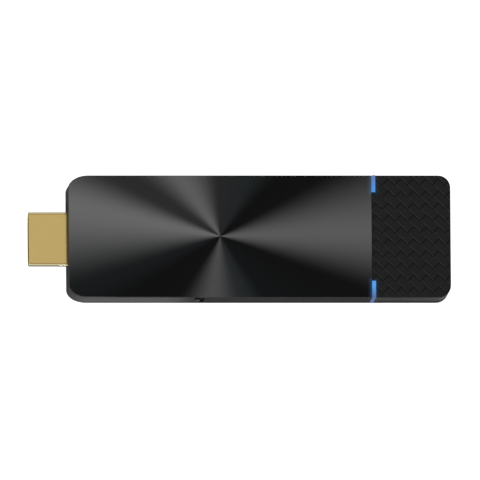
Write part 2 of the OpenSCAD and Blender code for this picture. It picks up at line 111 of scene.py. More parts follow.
# Display plug: folded sheet, with the rim inside the casing left off its box.
RIM = 0.5 * MM
PLUG_LO_Y = PLUG_LO.y + RIM
PLUG_Z0, PLUG_Z1 = PLUG_LO.z + RIM, PLUG_HI.z - RIM
PLUG_SIDE, PLUG_SLOPE, PLUG_ROUND, PLUG_T = 2.6 * MM, 1.75 * MM, 0.55 * MM, 0.3 * MM
PLUG_TOP_Y = -PLUG_LO_Y
WINDOW_X0, WINDOW_X1 = PLUG_LO.x + 4.2 * MM, PLUG_LO.x + 6.4 * MM
WINDOW_Y, WINDOW_W = 2.7 * MM, 1.8 * MM

# Textured end cover: the weave's repeat along X and Y, and the form of one tread.
COVER_X = GUIDE_LO.x - GAP
COVER_L = COVER_HI.x - COVER_X
WEAVE_X, WEAVE_Y = 3.22 * MM, 3.11 * MM
CELL = math.hypot(WEAVE_X, WEAVE_Y) / 2
WEAVE_START = Vector((37.465, 14.31, 0)) * MM
RELIEF_DEPTH = 0.3 * MM
RELIEF_Z0 = COVER_HI.z - 0.5 * MM
SLOPE_W, SLOPE_DROP, DIP, TREAD_GAP = 0.17 * MM, 0.08 * MM, 0.05 * MM, 0.26 * MM
COVER_EDGE_R = 0.25 * MM
HOOK_Y, HOOK_T = 9 * MM, 0.9 * MM

# Light guides: the width of the leg down the side, and the foot over the lamp.
LEG_T, LAMP_FOOT_W, LAMP_FOOT_Z = 0.8 * MM, 1.2 * MM, 6.3 * MM


# ---------- modelling helpers ----------

def only(piece):
    """Selects one piece and makes it the active one."""
    if bpy.context.object and bpy.context.object.mode != "OBJECT":
        bpy.ops.object.mode_set(mode="OBJECT")
    bpy.ops.object.select_all(action="DESELECT")
    piece.select_set(True)
    bpy.context.view_layer.objects.active = piece


def settle(piece, name):
    """Names a new piece and moves its place and size into its mesh."""
    only(piece)
    bpy.ops.object.transform_apply(location=True, rotation=True, scale=True)
    piece.name = piece.data.name = name
    return piece


def block(name, low, high):
    """A box between two corners."""
    low, high = Vector(low), Vector(high)
    bpy.ops.object.select_all(action="DESELECT")
    bpy.ops.mesh.primitive_cube_add(size=1, location=(low + high) / 2, scale=high - low)
    return settle(bpy.context.object, name)


def post(name, centre, radius, z0, z1, sides=32):
    """An upright round post between two levels."""
    bpy.ops.object.select_all(action="DESELECT")
    bpy.ops.mesh.primitive_cylinder_add(
        vertices=sides, radius=radius, depth=z1 - z0, location=(*centre, (z0 + z1) / 2))
    return settle(bpy.context.object, name)


def pick(piece, kind, test):
    """Goes into edit mode with just the points, edges or faces that pass a test."""
    only(piece)
    bpy.ops.object.mode_set(mode="EDIT")
    bpy.ops.mesh.select_mode(type=kind)
    bpy.ops.mesh.select_all(action="DESELECT")
    mesh = bmesh.from_edit_mesh(piece.data)
    kinds = {"VERT": mesh.verts, "EDGE": mesh.edges, "FACE": mesh.faces}
    for part in kinds[kind]:
        part.select_set(bool(test(part)))
    mesh.select_flush_mode()
    bmesh.update_edit_mesh(piece.data)


def done():
    bpy.ops.object.mode_set(mode="OBJECT")


def near(a, b):
    return abs(a - b) < 0.002 * MM


def upright(edge):
    a, b = (v.co for v in edge.verts)
    return near(a.x, b.x) and near(a.y, b.y)


def at_level(part, z):
    return all(near(v.co.z, z) for v in part.verts)


def round_edges(piece, test, radius, segments):
    pick(piece, "EDGE", test)
    bpy.ops.mesh.bevel(offset=radius, offset_type="OFFSET", segments=segments, affect="EDGES")
    done()


def slice_at(piece, point, normal):
    """Adds a ring of edges where a plane crosses the piece."""
    only(piece)
    bpy.ops.object.mode_set(mode="EDIT")
    bpy.ops.mesh.select_all(action="SELECT")
    bpy.ops.mesh.bisect(plane_co=point, plane_no=normal)
    done()


def join(pieces, name):
    """Makes several pieces one."""
    only(pieces[0])
    for piece in pieces[1:]:
        piece.select_set(True)
    bpy.ops.object.join()
    bpy.context.object.name = bpy.context.object.data.name = name
    return bpy.context.object


def combine(piece, tool, way):
    """Cuts a tool out of a piece, adds it on, or keeps what they share."""
    modifier = piece.modifiers.new("combine", "BOOLEAN")
    modifier.operation = way
    modifier.solver = "EXACT"
    modifier.object = tool
    only(piece)
    bpy.ops.object.modifier_apply(modifier=modifier.name)
    bpy.data.objects.remove(tool)


def soften(piece, width, segments=2, angle=35):
    """Rounds every sharp edge a little, as moulding and tumbling do."""
    only(piece)
    bpy.ops.object.mode_set(mode="EDIT")
    bpy.ops.mesh.select_all(action="SELECT")
    bpy.ops.mesh.remove_doubles(threshold=0.001 * MM)
    bpy.ops.mesh.dissolve_limited(angle_limit=math.radians(0.5))
    done()
    modifier = piece.modifiers.new("soften", "BEVEL")
    modifier.limit_method = "ANGLE"
    modifier.angle_limit = math.radians(angle)
    modifier.width = width
    modifier.segments = segments
    only(piece)
    bpy.ops.object.modifier_apply(modifier=modifier.name)
    bpy.ops.object.shade_smooth_by_angle(angle=math.radians(SMOOTH_BELOW))


def tidy_mesh(piece):
    """Merges doubled points and turns the faces outwards."""
    only(piece)
    bpy.ops.object.mode_set(mode="EDIT")
    bpy.ops.mesh.select_all(action="SELECT")
    bpy.ops.mesh.remove_doubles(threshold=0.0005 * MM)
    bpy.ops.mesh.normals_make_consistent(inside=False)
    done()


def hand_over(piece, body, slot, *nodes):
    """Gives a finished piece its material and its body, and hides the CAD nodes it stands for."""
    piece.data.materials.clear()
    piece.data.materials.append(finishes[slot])
    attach(piece, body)
    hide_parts(*nodes)


# ---------- material helpers ----------

class Finish:
    """A material and short ways to add nodes to it."""

    def __init__(self, name):
        self.material = bpy.data.materials.new(name)
        self.material.use_nodes = True
        self.tree = self.material.node_tree
        self.shader = self.tree.nodes["Principled BSDF"]

    def node(self, kind, **settings):
        made = self.tree.nodes.new(kind)
        for key, value in settings.items():
            setattr(made, key, value)
        return made

    def link(self, out, into):
        self.tree.links.new(out, into)

    def place(self, scale=(1, 1, 1), centre=(0, 0, 0), turn=0):
        """Object coordinates, moved to a centre and stretched, or turned about it."""
        coordinates = self.node("ShaderNodeTexCoord")
        mapping = self.node("ShaderNodeMapping")
        mapping.inputs["Scale"].default_value = scale
        away = Vector([-c * s for c, s in zip(centre, scale)])
        away.rotate(Matrix.Rotation(turn, 3, "Z"))
        mapping.inputs["Location"].default_value = away
        mapping.inputs["Rotation"].default_value = (0, 0, turn)
        self.link(coordinates.outputs["Object"], mapping.inputs["Vector"])
        return mapping.outputs["Vector"]

    def noise(self, pitch, detail=3, stretch=(1, 1, 1)):
        """Noise whose features are about pitch across."""
        texture = self.node("ShaderNodeTexNoise")
        texture.inputs["Scale"].default_value = 1 / pitch
        texture.inputs["Detail"].default_value = detail
        self.link(self.place(stretch), texture.inputs["Vector"])
        return texture.outputs["Fac"]

    def ramp(self, value, stops, way="LINEAR"):
        """A colour for each value, from a list of (place, colour)."""
        ramp = self.node("ShaderNodeValToRGB")
        ramp.color_ramp.interpolation = way
        elements = ramp.color_ramp.elements
        while len(elements) > 1:
            elements.remove(elements[-1])
        elements[0].position = stops[0][0]
        elements[0].color = (*stops[0][1], 1)
        for spot, colour in stops[1:]:
            elements.new(spot).color = (*colour, 1)
        self.link(value, ramp.inputs["Fac"])
        return ramp.outputs["Color"]

    def range(self, value, low, high):
        """Spreads a 0 to 1 value between two limits."""
        spread = self.node("ShaderNodeMapRange")
        spread.inputs["From Min"].default_value = 0.25
        spread.inputs["From Max"].default_value = 0.75
        spread.inputs["To Min"].default_value = low
        spread.inputs["To Max"].default_value = high
        self.link(value, spread.inputs["Value"])
        return spread.outputs["Result"]

    def mix(self, share, first, second, way="MIX"):
        """Goes from one colour to another; each colour is an output or three numbers."""
        mix = self.node("ShaderNodeMix", data_type="RGBA", blend_type=way)
        for value, socket in ((share, "Factor"), (first, "A"), (second, "B")):
            if isinstance(value, bpy.types.NodeSocket):
                self.link(value, mix.inputs[socket])
            else:
                mix.inputs[socket].default_value = value if socket == "Factor" else (*value, 1)
        return mix.outputs["Result"]

    def colour(self):
        """The output that now gives the base colour."""
        return self.shader.inputs["Base Color"].links[0].from_socket

    def paint(self, colour):
        self.link(colour, self.shader.inputs["Base Color"])

    def bump(self, height, depth, strength=1.0):
        bump = self.node("ShaderNodeBump")
        bump.inputs["Strength"].default_value = strength
        bump.inputs["Distance"].default_value = depth
        self.link(height, bump.inputs["Height"])
        self.link(bump.outputs["Normal"], self.shader.inputs["Normal"])
        return bump

    def set(self, **values):
        for key, value in values.items():
            self.shader.inputs[key.replace("_", " ")].default_value = value


def shade(colour, factor):
    return tuple(min(1.0, c * factor) for c in colour)


def grey(level):
    return (level, level, level)


def moulded(name, colour, rough, grain=0.12, depth=0.006, level=0.5, spread=0.15, spill=0):
    """Moulded plastic, rubber or ceramic: fine grain, patchy gloss and colour. Sizes in mm."""
    finish = Finish(name)
    finish.set(Specular_IOR_Level=level)
    patches = finish.noise(6 * MM, 4)
    stops = [(0.3, shade(colour, 1 - spread)), (0.7, shade(colour, 1 + spread))]
    finish.paint(finish.ramp(patches, stops))
    finish.link(finish.range(patches, rough * 0.93, rough * 1.07),
                finish.shader.inputs["Roughness"])
    finish.bump(finish.noise(grain * MM, 2), depth * MM, 0.6)
    # Painted light: a faint blue glow from the light lines, where spill is given.
    if spill:
        spill_light(finish, spill)
    return finish


def casing_plastic():
    """Dark grey plastic, with painted shade that makes the finger well all but black, and a faint
    painted blue glow beside the light lines.
    """
    finish = moulded("casing_grey", (0.024, 0.024, 0.0245), 0.6, 0.16, 0.004, 0.12, 0.08, 0.02)
    middle = (WELL_X0 + WELL_W / 2, -SIDE_Y + WELL_DEPTH, (WELL_Z0 + WELL_Z1) / 2)
    half = (WELL_W / 2 + GAP, WELL_DEPTH - GAP, (WELL_Z1 - WELL_Z0) / 2 + GAP)
    away = finish.node("ShaderNodeVectorMath", operation="ABSOLUTE")
    finish.link(finish.place([1 / size for size in half], middle), away.inputs[0])
    parts = finish.node("ShaderNodeSeparateXYZ")
    finish.link(away.outputs["Vector"], parts.inputs["Vector"])
    widest = finish.node("ShaderNodeMath", operation="MAXIMUM")
    finish.link(parts.outputs["X"], widest.inputs[0])
    finish.link(parts.outputs["Y"], widest.inputs[1])
    furthest = finish.node("ShaderNodeMath", operation="MAXIMUM")
    finish.link(widest.outputs["Value"], furthest.inputs[0])
    finish.link(parts.outputs["Z"], furthest.inputs[1])
    inside = finish.node("ShaderNodeMath", operation="LESS_THAN")
    finish.link(furthest.outputs["Value"], inside.inputs[0])
    inside.inputs[1].default_value = 1
    # Painted shade: inside the finger well the colour goes all but black.
    finish.paint(finish.mix(inside.outputs["Value"], finish.colour(), grey(0.003)))
    return finish.material


def cover_plastic():
    """Black satin plastic, with painted shade at the bottom of the joints in its relief, and a
    faint painted blue glow beside the light lines.
    """
    finish = moulded("cover_black", grey(0.0078), 0.34, 0.1, 0.002, 0.115, 0.08, 0.05)
    place = finish.node("ShaderNodeSeparateXYZ")
    finish.link(finish.place((1, 1, 1), (0, 0, COVER_HI.z - RELIEF_DEPTH)), place.inputs["Vector"])
    height = finish.node("ShaderNodeMath", operation="ABSOLUTE")
    finish.link(place.outputs["Z"], height.inputs[0])
    joint_shade_fade = finish.node("ShaderNodeMapRange")
    joint_shade_fade.inputs["From Max"].default_value = 0.2 * MM
    finish.link(height.outputs["Value"], joint_shade_fade.inputs["Value"])
    # Painted shade: the colour goes all but black at the bottom of the joints.
    finish.paint(finish.mix(joint_shade_fade.outputs["Result"], grey(0.0013), finish.colour()))
    return finish.material


def key_plastic():
    """Dark plastic: its own colour on the outermost face, and painted shade on every face set back
    behind it.
    """
    finish = moulded("key_grey", (0.05, 0.05, 0.051), 0.55, 0.15, 0.004, 0.15)
    place = finish.node("ShaderNodeSeparateXYZ")
    finish.link(finish.place(), place.inputs["Vector"])
    painted_shade_inward = finish.node("ShaderNodeMapRange")
    painted_shade_inward.inputs["From Min"].default_value = KEY_LO.y + 0.13 * MM
    painted_shade_inward.inputs["From Max"].default_value = KEY_LO.y + 0.25 * MM
    finish.link(place.outputs["Y"], painted_shade_inward.inputs["Value"])
    # Painted shade on all but the outermost face of the key.
    finish.paint(finish.mix(painted_shade_inward.outputs["Result"], finish.colour(), grey(0.004)))
    return finish.material


def sheet_metal(name, colour, rough, brush=(1, 12, 12), grain=0.25, depth=0.002):
    """Rolled or plated sheet: fine streaks along one axis and uneven gloss."""
    finish = Finish(name)
    finish.set(Metallic=1.0)
    streaks = finish.noise(grain * MM, 4, [b * 0.3 for b in brush])
    stops = [(0.3, shade(colour, 0.88)), (0.7, shade(colour, 1.08))]
    finish.paint(finish.ramp(streaks, stops))
    finish.link(finish.range(streaks, rough * 0.8, rough * 1.2),
                finish.shader.inputs["Roughness"])
    finish.bump(streaks, depth * MM, 0.5)
    return finish.material


def to_linear(level):
    """A display level from 0 to 255 as a share of light."""
    share = level / 255
    return share / 12.92 if share <= 0.04045 else ((share + 0.055) / 1.055) ** 2.4


# ---------- materials ----------

# Crests and troughs of the sheen painted on the turned plate: degrees from +X, brightness, and how
# cool it is.
PAINTED_SHEEN = (
    (-21, 18, 0), (2, 89, 0), (31, 18, 0), (43, 17, 0), (66, 36, 1), (90, 38, 0), (124, 91, 0),
    (146, 43, 0), (151, 44, 0), (168, 102, 0), (200, 26, 1), (214, 17, 0), (234, 18, 0),
    (262, 73, 0), (290, 39, 1), (308, 21, 1), (339, 18, 0),
)
WARM, COOL = (1.0, 1.0, 1.0), (0.9, 1.03, 1.08)
PLATE_LIGHT = 0.81
SKY_LEVEL = 0.75
NEAR_BLUE = (0.085, 0.325, 0.75)
SPILL = 1.3 * MM


def spun_plate():
    """Black anodised metal turned about its centre, with the sheen of light round it painted into
    its colour sector by sector, and a faint painted blue glow beside the light lines.
    """
    finish = Finish("spun_black_metal")
    centre = (PLATE_LO + PLATE_HI) / 2
    fan = finish.node("ShaderNodeTexGradient", gradient_type="RADIAL")
    start = math.radians(180 - PAINTED_SHEEN[0][0])
    finish.link(finish.place(centre=centre, turn=start), fan.inputs["Vector"])
    stops = [((angle - PAINTED_SHEEN[0][0]) / 360,
              [to_linear(level) / PLATE_LIGHT * share for share in (COOL if cool else WARM)])
             for angle, level, cool in PAINTED_SHEEN]
    painted_sheen_fans = finish.ramp(fan.outputs["Fac"], stops, "EASE")
    rings = finish.node("ShaderNodeTexWave", wave_type="RINGS", rings_direction="Z")
    rings.inputs["Scale"].default_value = 0.3 / (0.16 * MM)
    rings.inputs["Distortion"].default_value = 0.6
    finish.link(finish.place(centre=centre), rings.inputs["Vector"])
    # Painted sheen: the base colour carries the bright and dark sectors of reflected light.
    finish.paint(painted_sheen_fans)
    finish.link(finish.range(rings.outputs["Fac"], 0.3, 0.36), finish.shader.inputs["Roughness"])
    finish.bump(rings.outputs["Fac"], 0.0006 * MM, 0.4)
    finish.set(Metallic=1.0)
    spill_light(finish, 0.2)
    return finish.material


def lit_guide():
    """Frosted light guide: bright where it faces up, dimmer towards its edge and side."""
    finish = Finish("blue_light")
    glow = [(0.0, (0.075, 0.13, 0.28)), (0.02, (0.085, 0.16, 0.36)), (0.06, (0.07, 0.24, 0.6)),
            (0.1, NEAR_BLUE), (0.8, (0.06, 0.27, 0.7)), (0.9, (0.06, 0.25, 0.66)),
            (0.96, (0.1, 0.2, 0.48)), (1.0, (0.12, 0.17, 0.34))]
    finish.link(finish.ramp(across_casing(finish), glow), finish.shader.inputs["Emission Color"])
    frost = finish.noise(0.3 * MM, 3)
    finish.paint(finish.ramp(frost, [(0.3, (0.01, 0.02, 0.04)), (0.7, (0.02, 0.03, 0.06))]))
    finish.link(finish.range(frost, 0.35, 0.5), finish.shader.inputs["Roughness"])
    finish.set(Emission_Strength=1.0, Specular_IOR_Level=0.1)
    return finish.material


def across_casing(finish):
    """0 at the near side of the casing and 1 at the far side."""
    place = finish.node("ShaderNodeSeparateXYZ")
    finish.link(finish.place(), place.inputs["Vector"])
    reach = finish.node("ShaderNodeMapRange")
    reach.inputs["From Min"].default_value = -SIDE_Y
    reach.inputs["From Max"].default_value = SIDE_Y
    finish.link(place.outputs["Y"], reach.inputs["Value"])
    return reach.outputs["Result"]


def spill_light(finish, strength):
    """Adds the soft blue light that each light line throws on what lies beside it."""
    middle = (GUIDE_LO.x + GUIDE_HI.x) / 2
    half = (GUIDE_HI.x - GUIDE_LO.x) / 2
    steps = (("ABSOLUTE",), ("MULTIPLY_ADD", (1, -1, 0), (-half, GUIDE_LO.y, 0)),
             ("MAXIMUM", (0, 0, 0)), ("LENGTH",))
    value = finish.place(centre=(middle, 0, 0))
    for operation, *settings in steps:
        step = finish.node("ShaderNodeVectorMath", operation=operation)
        finish.link(value, step.inputs[0])
        for count, setting in enumerate(settings, 1):
            step.inputs[count].default_value = setting
        value = step.outputs["Value" if operation == "LENGTH" else "Vector"]
    fade = finish.node("ShaderNodeMapRange")
    fade.inputs["From Max"].default_value = SPILL
    fade.inputs["To Min"].default_value = 1
    fade.inputs["To Max"].default_value = 0
    finish.link(value, fade.inputs["Value"])
    stops = [(0.0, (0, 0, 0)), (0.5, shade(NEAR_BLUE, 0.2 * strength)),
             (1.0, shade(NEAR_BLUE, strength))]
    finish.link(finish.ramp(fade.outputs["Result"], stops), finish.shader.inputs["Emission Color"])
    finish.set(Emission_Strength=1.0)


def circuit_board():
    """Solder mask over copper: a fine maze of straight tracks and small round pads."""
    finish = Finish("board_green")
    cells = finish.node("ShaderNodeTexVoronoi", feature="F1", distance="CHEBYCHEV")
    cells.inputs["Scale"].default_value = 1 / (1.1 * MM)
    finish.link(finish.place(), cells.inputs["Vector"])
    green, copper = (0.012, 0.075, 0.04), (0.03, 0.16, 0.08)
    stops = [(0.0, copper), (0.12, copper), (0.16, green), (0.42, green), (0.46, copper),
             (0.54, copper), (0.58, green)]
    finish.paint(finish.ramp(cells.outputs["Distance"], stops))
    finish.link(finish.range(finish.noise(2 * MM), 0.25, 0.4), finish.shader.inputs["Roughness"])
    finish.bump(cells.outputs["Distance"], 0.02 * MM, 0.4)
    return finish.material


def gold_plate():
    """Satin gold over folded sheet: darker along the two fold lines, a painted highlight on the
    rounded edges, painted shade on the sides below them, and fine lengthwise streaks.
    """
    finish = Finish("gold_plate")
    place = finish.node("ShaderNodeSeparateXYZ")
    finish.link(finish.place(), place.inputs["Vector"])
    side = finish.node("ShaderNodeMath", operation="ABSOLUTE")
    finish.link(place.outputs["Y"], side.inputs[0])
    across = finish.node("ShaderNodeMapRange")
    across.inputs["From Min"].default_value = PLUG_TOP_Y - 1.5 * MM
    across.inputs["From Max"].default_value = PLUG_TOP_Y
    finish.link(side.outputs["Value"], across.inputs["Value"])
    # Across the sheet: plain gold, a darker fold line, the lip band as a painted highlight on the
    # rounded edge, and the under band as painted shade on the side.
    plain, fold, lip = (0.70, 0.51, 0.19), (0.42, 0.29, 0.1), (0.84, 0.74, 0.48)
    under = (0.24, 0.17, 0.07)
    stops = [(0.0, plain), (0.53, plain), (0.58, fold), (0.68, fold), (0.76, lip), (0.96, lip),
             (0.99, under), (1.0, under)]
    folds = finish.ramp(across.outputs["Result"], stops)
    streaks = finish.noise(0.5 * MM, 4, (0.2, 2.5, 2.5))
    wear = finish.ramp(streaks, [(0.3, grey(0.93)), (0.7, grey(1.0))])
    finish.paint(finish.mix(1.0, folds, wear, "MULTIPLY"))
    finish.link(finish.range(streaks, 0.1, 0.14), finish.shader.inputs["Roughness"])
    finish.bump(streaks, 0.0006 * MM, 0.4)
    finish.set(Metallic=1.0)
    return finish.material


finishes = {
    "spun_black_metal": spun_plate(),
    "blue_light": lit_guide(),
    "board_green": circuit_board(),
    "gold_plate": gold_plate(),
    "casing_grey": casing_plastic(),
    "cover_black": cover_plastic(),
    "label_black": moulded("label_black", (0.012, 0.012, 0.013), 0.35, 0.8, 0.002).material,
    "key_grey": key_plastic(),
    "connector_black": moulded("connector_black", (0.008, 0.008, 0.009), 0.5, 0.1, 0.004).material,
    "plunger_white": moulded("plunger_white", (0.6, 0.6, 0.57), 0.45).material,
    "chip_black": moulded("chip_black", (0.012, 0.012, 0.013), 0.55, 0.08, 0.006).material,
    "part_tan": moulded("part_tan", (0.38, 0.27, 0.15), 0.5, 0.2, 0.004).material,
    "part_black": moulded("part_black", (0.012, 0.012, 0.012), 0.4, 0.2, 0.004).material,
    "coil_grey": moulded("coil_grey", (0.05, 0.05, 0.053), 0.6, 0.1, 0.01).material,
    "pad_blue": moulded("pad_blue", (0.11, 0.17, 0.27), 0.7, 0.3, 0.02).material,
    "glue_film": moulded("glue_film", (0.42, 0.38, 0.26), 0.6, 0.5, 0.01).material,
    "lead_black": moulded("lead_black", (0.01, 0.01, 0.01), 0.5, 0.2, 0.004).material,
    "lamp_white": moulded("lamp_white", (0.7, 0.7, 0.5), 0.3, 0.2, 0.002).material,
    "screw_steel": sheet_metal("screw_steel", (0.1, 0.1, 0.105), 0.38, (1, 1, 1)),
    "contact_gold": sheet_metal("contact_gold", (0.86, 0.62, 0.24), 0.28),
    "tinned_steel": sheet_metal("tinned_steel", (0.58, 0.58, 0.57), 0.34),
    "socket_steel": sheet_metal("socket_steel", (0.5, 0.5, 0.51), 0.3),
    "crystal_can": sheet_metal("crystal_can", (0.6, 0.58, 0.54), 0.3),
    "spreader_aluminium": sheet_metal("spreader_aluminium", (0.72, 0.72, 0.73), 0.4),
    "aerial_copper": sheet_metal("aerial_copper", (0.62, 0.3, 0.16), 0.35),
}


def dress_frame():
    """Every CAD node gets the finish of its slot."""
    for part in frame["record"]["subparts"]:
        mesh = frame["nodes"][part["node"]].data
        mesh.materials.clear()
        mesh.materials.append(finishes[part["material_slot"]])


# ---------- floor, light and camera ----------

def make_floor():
    bpy.ops.object.select_all(action="DESELECT")
    bpy.ops.mesh.primitive_plane_add(size=6, location=(0, 0, cad_bounds[0].z - 0.02 * MM))
    floor = settle(bpy.context.object, "floor")
    paper = Finish("floor_paper")
    fibre = paper.noise(4 * MM, 3)
    paper.paint(paper.ramp(fibre, [(0.3, grey(0.43)), (0.7, grey(0.47))]))
    seen = paper.node("ShaderNodeLightPath")
    glow = paper.node("ShaderNodeMath", operation="MULTIPLY")
    paper.link(seen.outputs["Is Camera Ray"], glow.inputs[0])
    glow.inputs[1].default_value = 0.95
    paper.link(glow.outputs["Value"], paper.shader.inputs["Emission Strength"])
    paper.set(Roughness=0.9, Specular_IOR_Level=0.1)
    paper.shader.inputs["Emission Color"].default_value = (1, 1, 1, 1)
    floor.data.materials.append(paper.material)


def make_softbox(name, place, size, power):
    """A square lamp aimed at the middle of the stick."""
    lamp = bpy.data.lights.new(name, "AREA")
    lamp.shape = "SQUARE"
    lamp.size = size
    lamp.energy = power
    holder = bpy.data.objects.new(name, lamp)
    holder.location = place
    holder.rotation_mode = "QUATERNION"
    holder.rotation_quaternion = Vector(place).to_track_quat("Z", "Y")
    bpy.context.scene.collection.objects.link(holder)


def make_spot(name, place, aim, angle, power):
    """A narrow soft-edged lamp aimed at one spot."""
    lamp = bpy.data.lights.new(name, "SPOT")
    lamp.spot_size = math.radians(angle)
    lamp.spot_blend = 0.6
    lamp.shadow_soft_size = 3 * MM
    lamp.energy = power
    holder = bpy.data.objects.new(name, lamp)
    holder.location = place
    holder.rotation_mode = "QUATERNION"
    holder.rotation_quaternion = (Vector(place) - Vector(aim)).to_track_quat("Z", "Y")
    bpy.context.scene.collection.objects.link(holder)


def make_light():
    """Even light all round, soft boxes high left and far right, and a spot on the plug end."""
    world = bpy.context.scene.world or bpy.data.worlds.new("studio")
    bpy.context.scene.world = world
    world.use_nodes = True
    world.node_tree.nodes["Background"].inputs["Color"].default_value = (1, 1, 1, 1)
    world.node_tree.nodes["Background"].inputs["Strength"].default_value = SKY_LEVEL
    make_softbox("high_left_box", (-0.4, -0.3, 0.7), 0.22, 1.5)
    make_softbox("far_right_box", (0.5, 0.5, 0.5), 0.5, 2.0)
    make_spot("plug_end_spot", (-0.05, -0.55, 0.006), (-0.029, -0.0158, 0.006), 3.8, 24)


def make_camera():
    """Looks straight down but for a small lean to the plug end and the near side."""
    lean_x, lean_y = 0.0666, 0.12
    back = Vector((-lean_x, -lean_y, 1)).normalized()
    up = Vector((0, 1, lean_y)).normalized()
    right = up.cross(back)
    body_mid = Vector(((LOWER_LO.x + LOWER_HI.x) / 2, 0, PLATE_HI.z))
    aim = body_mid - 5.09 * MM * right - 0.95 * MM * up
    lens = bpy.data.cameras.new("camera")
    lens.type = "ORTHO"
    lens.ortho_scale = 123.37 * MM
    camera = bpy.data.objects.new("camera", lens)
    turn = Matrix((right, up, back)).transposed().to_4x4()
    camera.matrix_world = Matrix.Translation(aim + 2 * back) @ turn
    bpy.context.scene.collection.objects.link(camera)
    bpy.context.scene.camera = camera
    bpy.context.scene.view_settings.view_transform = "Standard"


# ---------- casing ----------

def casing_form(name, inset, z0, z1, segments=12):
    """A slab with the casing's own outline, drawn in by some amount."""
    left = LOWER_LO.x + inset
    radius = CORNER_R - inset
    form = block(name, (left, -SIDE_Y + inset, z0), (LOWER_HI.x - inset, SIDE_Y - inset, z1))
    round_edges(form, upright, radius, segments)
    pick(form, "VERT", lambda v: v.co.x < left + radius + GAP)
    bpy.ops.transform.resize(value=(1 + CORNER_LONG / radius, 1, 1),
                             center_override=(left, 0, 0))
    done()
    return form


def round_rim(piece, z, radius, segments):
    """Rounds the outer edge at one level all the way round."""
    round_edges(piece, lambda edge: at_level(edge, z)
                and any(abs(f.normal.z) < 0.5 for f in edge.link_faces), radius, segments)


def cut_slot(piece, centre, length, height, x0, x1):
    """Cuts a slot with round ends right through a wall that faces along X."""
    slot = block("slot", (x0, centre[0] - length / 2, centre[1] - height / 2),
                 (x1, centre[0] + length / 2, centre[1] + height / 2))
    round_edges(slot, lambda edge: abs(edge.verts[0].co.x - edge.verts[1].co.x) > GAP,
                height / 2 - 0.01 * MM, 8)
    combine(piece, slot, "DIFFERENCE")


def cut_socket_window(piece):
    middle = (SOCKET_LO.z + SOCKET_HI.z) / 2
    height = SOCKET_HI.z - SOCKET_LO.z + 0.4 * MM
    length = SOCKET_HI.y - SOCKET_LO.y + 0.4 * MM
    cut_slot(piece, (0, middle), length, height, LOWER_HI.x - 2.4 * MM, LOWER_HI.x + MM)


def cut_key_well(piece):
    """The shallow finger well that the key stands in."""
    well = block("well", (WELL_X0, -SIDE_Y - MM, WELL_Z0),
                 (WELL_X0 + WELL_W, -SIDE_Y + WELL_DEPTH, WELL_Z1))
    round_edges(well, lambda edge: abs(edge.verts[0].co.y - edge.verts[1].co.y) > GAP,
                0.4 * MM, 4)
    combine(piece, well, "DIFFERENCE")


def cut_key_opening(piece):
    hole = block("key_hole", (KEY_FACE_X0 - 1.2 * GAP, -SIDE_Y - MM, KEY_FACE_Z0 - 1.2 * GAP),
                 (KEY_FACE_X1 + 1.2 * GAP, -SIDE_Y + 2 * WALL, KEY_FACE_Z1 + 1.2 * GAP))
    combine(piece, hole, "DIFFERENCE")


def cut_guide_grooves(piece):
    """Room for the two light guides, over the top and down the sides."""
    x0, x1 = GUIDE_LO.x - GAP, GUIDE_HI.x + GAP
    reach = GUIDE_LO.y - GAP
    leg = SIDE_Y - LEG_T - GAP
    top = PLATE_HI.z + MM
    for side in (-1, 1):
        for inner, low in ((reach, COVER_HI.z - COVER_T - GAP), (leg, GUIDE_LO.z - GAP)):
            ends = sorted((side * inner, side * (SIDE_Y + MM)))
            combine(piece, block("groove", (x0, ends[0], low), (x1, ends[1], top)), "DIFFERENCE")
        ends = sorted((side * reach, side * (reach + LAMP_FOOT_W + 2 * GAP)))
        combine(piece, block("groove", (x0, ends[0], LAMP_FOOT_Z), (x1, ends[1], top)),
                "DIFFERENCE")


def cut_screw_seats(piece):
    for x in SCREW_XS:
        for y in (-SCREW_Y, SCREW_Y):
            seat_top = SCREW_LO.z + 0.8 * MM
            combine(piece, post("seat", (x, y), SCREW_HEAD_R + 0.1 * MM, -MM, seat_top),
                    "DIFFERENCE")
            combine(piece, post("hole", (x, y), SCREW_R + 0.1 * MM, 0, BOARD_LO.z + MM),
                    "DIFFERENCE")


def cut_vents(piece):
    """Two rows of round-ended slots through the floor."""
    first = block("vents", (-VENT_W / 2, -VENT_L / 2, -MM), (VENT_W / 2, VENT_L / 2, 3 * MM))
    round_edges(first, upright, VENT_W / 2 - 0.01 * MM, 5)
    slots = []
    for row in (-1, 1):
        for count in range(VENT_COUNT):
            slot = first.copy()
            slot.data = first.data.copy()
            slot.data.transform(Matrix.Translation(
                (VENT_X0 + count * VENT_PITCH, row * (VENT_L / 2 + 1.1 * MM), 0)))
            bpy.context.scene.collection.objects.link(slot)
            slots.append(slot)
    bpy.data.objects.remove(first)
    combine(piece, join(slots, "vents"), "DIFFERENCE")


